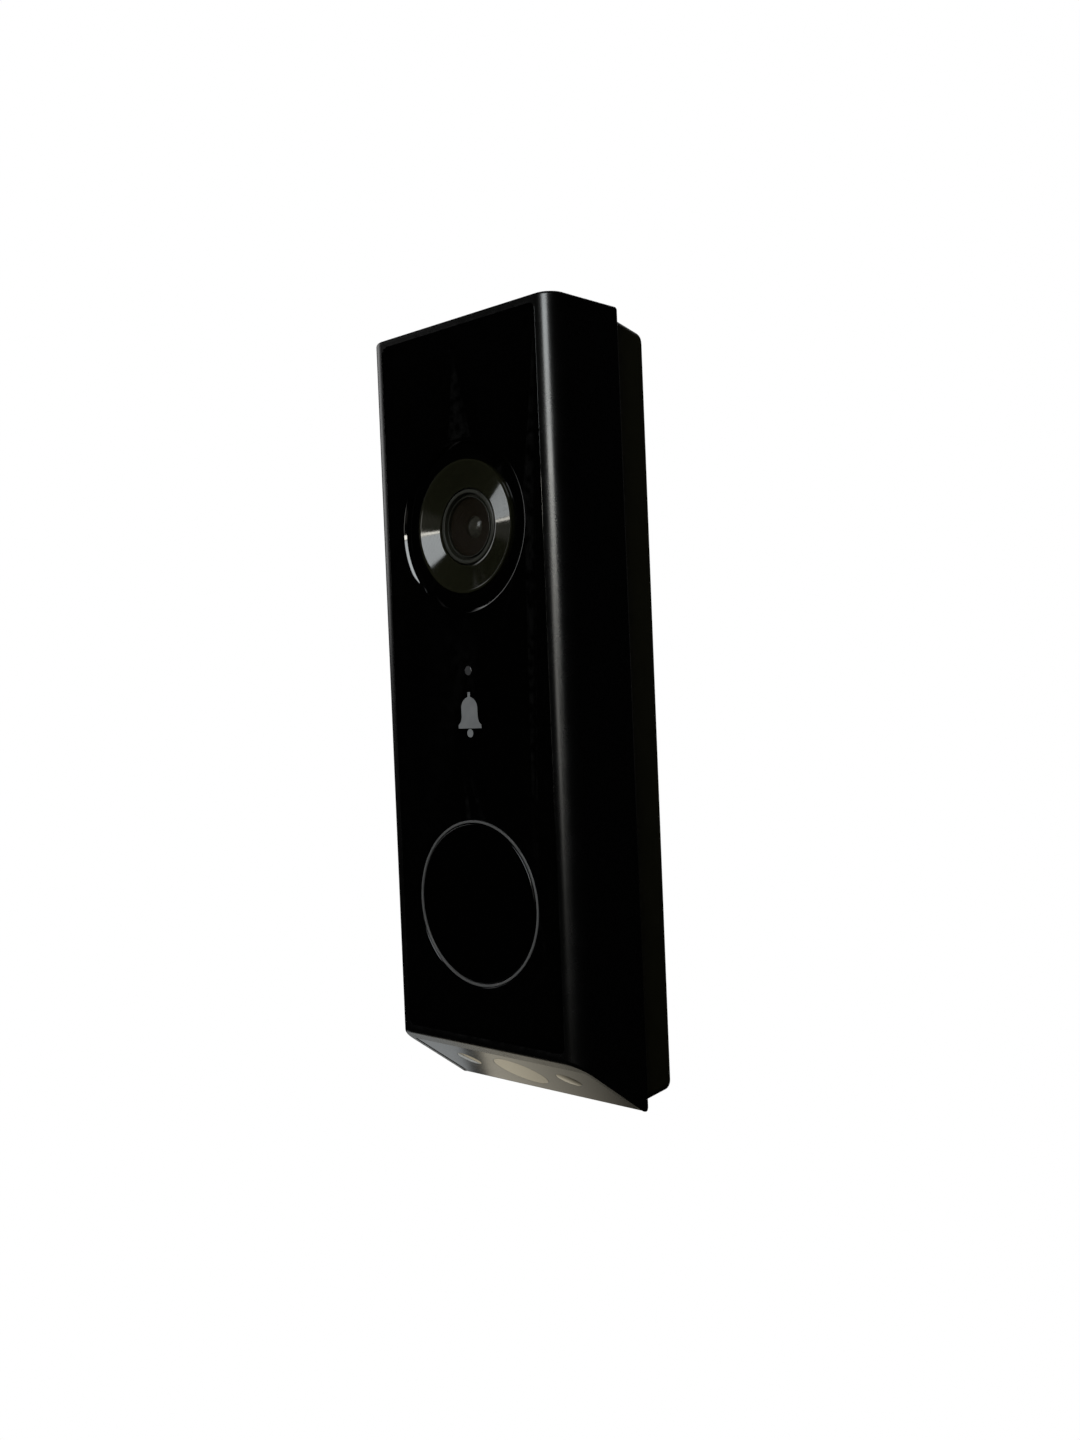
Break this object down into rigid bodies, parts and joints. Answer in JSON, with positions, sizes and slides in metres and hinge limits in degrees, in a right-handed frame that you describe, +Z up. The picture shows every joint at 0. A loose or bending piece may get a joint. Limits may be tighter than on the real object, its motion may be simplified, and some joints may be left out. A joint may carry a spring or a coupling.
{
  "type": "video doorbell",
  "caption": "Slim black battery video doorbell with a camera, a flush round ring-lit button and a sloping underside, tilting off a flat wall bracket.",
  "frame": {"origin": "centre of the bracket's wall face", "axes": "+Y into the wall, +Z up, the gloss front faces -Y"},
  "size_m": [0.054, 0.0315, 0.165],
  "materials": {
    "shell_black": "fine satin moulded black",
    "panel_gloss": "high-gloss black",
    "button_gloss": "high-gloss black",
    "bezel_black": "dark, finely turned grooves",
    "camera_glass": "clear, coated",
    "lens_ring_grey": "satin dark grey",
    "lens_baffle": "matte dark brown",
    "lens_glass": "polished, coated",
    "light_guide": "translucent grey, unlit",
    "sensor_grey": "smoked",
    "symbol_grey": "printed grey",
    "underside_gloss": "gloss, smoked",
    "down_window": "smoked clear",
    "lamp_window": "diffusing",
    "rear_matte": "fine matte moulded black",
    "bracket_black": "matte moulded black",
    "inner_black": "matte black",
    "rubber_black": "soft matte",
    "seal_grey": "silicone",
    "foam_grey": "foam",
    "spring_steel": "drawn wire",
    "screw_steel": "plated",
    "shield_tin": "tinned sheet",
    "contact_gold": "plated",
    "sensor_chip": "silicon under cover glass",
    "board_green": "solder mask",
    "flex_amber": "polyimide",
    "cell_wrap": "shrink wrap",
    "led_white": "unlit",
    "switch_grey": "moulded",
    "adhesive_tape": "foam tape"
  },
  "bodies": {
    "bracket": {"wall_bracket": "bracket_black", "latch_spring": "spring_steel"},
    "doorbell": {"front_shell": "shell_black", "front_panel": "panel_gloss", "panel_adhesive": "adhesive_tape", "bell_symbol": "symbol_grey", "lens_bezel": "bezel_black", "camera_window": "camera_glass", "lens_ring": "lens_ring_grey", "lens_barrel": "lens_baffle", "front_lens": "lens_glass", "camera_holder": "inner_black", "camera_screws": "screw_steel", "image_sensor": "sensor_chip", "sensor_board": "board_green", "ribbon_cable": "flex_amber", "light_sensor_window": "sensor_grey", "microphone_boot": "rubber_black", "microphone_board": "board_green", "led_ring": "light_guide", "ring_leds": "led_white", "button_spring": "spring_steel", "tact_switch": "switch_grey", "main_board": "board_green", "shield_can": "shield_tin", "wifi_antenna": "flex_amber", "battery_cells": "cell_wrap", "battery_tray": "inner_black", "battery_contacts": "contact_gold", "bevel_panel": "underside_gloss", "down_camera_window": "down_window", "down_camera_baffle": "lens_baffle", "down_camera_lens": "lens_glass", "down_camera_module": "inner_black", "lamp_windows": "lamp_window", "lamp_leds": "led_white", "lamp_boards": "board_green", "speaker": "inner_black", "speaker_gasket": "foam_grey", "rear_housing": "rear_matte", "rear_seal": "seal_grey", "case_screws": "screw_steel", "terminal_block": "contact_gold", "terminal_screws": "screw_steel", "io_board": "board_green", "charging_socket": "shield_tin", "reset_switch": "switch_grey"},
    "latch": {"bracket_latch": "bracket_black"},
    "button": {"button_cap": "button_gloss"},
    "charging_cover": {"port_cover": "rubber_black"},
    "reset_key": {"reset_button": "switch_grey"}
  },
  "joints": [
    {"name": "unit_tilt", "type": "hinge", "parent": "bracket", "child": "doorbell", "pos_m": [0, -0.0004, 0.0784], "axis": [-1, 0, 0], "range_deg": [0, 8]},
    {"name": "latch_lift", "type": "slide", "parent": "bracket", "child": "latch", "axis": [0, 0, 1], "range_m": [0, 0.0015], "stiffness_N_per_m": 300, "springref_m": -0.001, "deforming": ["latch_spring"]},
    {"name": "button_press", "type": "slide", "parent": "doorbell", "child": "button", "axis": [0, 1, 0], "range_m": [0, 0.0005], "stiffness_N_per_m": 600, "springref_m": -0.0005, "deforming": ["button_spring"]},
    {"name": "charging_cover_pull", "type": "slide", "parent": "doorbell", "child": "charging_cover", "axis": [0, 1, 0], "range_m": [0, 0.003]},
    {"name": "reset_press", "type": "slide", "parent": "doorbell", "child": "reset_key", "axis": [0, -1, 0], "range_m": [0, 0.0004], "stiffness_N_per_m": 200, "springref_m": -0.0005}
  ]
}
